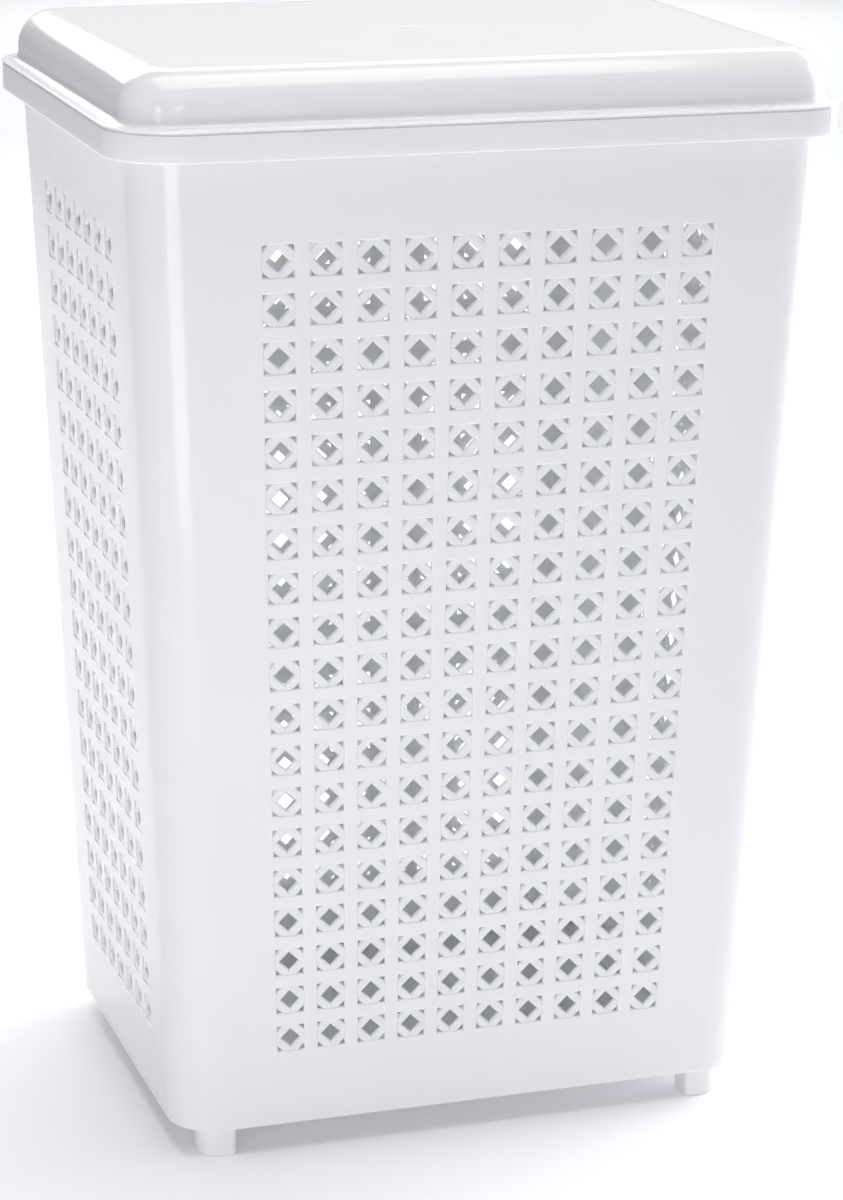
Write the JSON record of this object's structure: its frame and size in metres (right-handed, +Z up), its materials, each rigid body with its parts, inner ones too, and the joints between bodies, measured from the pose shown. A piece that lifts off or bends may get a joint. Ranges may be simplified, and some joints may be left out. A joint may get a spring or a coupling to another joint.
{
  "type": "laundry hamper with lid",
  "caption": "Tall drafted rectangular hamper with lattice-perforated walls, short feet and a domed lift-off lid whose skirt covers the rim.",
  "frame": {"origin": "on the floor, under the middle of the basket", "axes": "+Z up, -Y out of the broad front wall, +X towards the right-hand narrow wall"},
  "size_m": [0.404, 0.309, 0.6],
  "materials": {
    "basket": "glossy white polypropylene, faint cool cast",
    "feet": "satin white polypropylene",
    "lid": "glossy white polypropylene"
  },
  "bodies": {
    "basket": {"front_wall": "basket", "back_wall": "basket", "left_wall": "basket", "right_wall": "basket", "corner_front_left": "basket", "corner_front_right": "basket", "corner_back_left": "basket", "corner_back_right": "basket", "base_plate": "basket", "rim": "basket", "foot_front_left": "feet", "foot_front_right": "feet", "foot_back_left": "feet", "foot_back_right": "feet"},
    "lid": {"lid": "lid"}
  },
  "joints": [
    {"name": "lid_lift", "type": "slide", "parent": "basket", "child": "lid", "axis": [0, 0, 1], "range_m": [0, 0.25]}
  ]
}
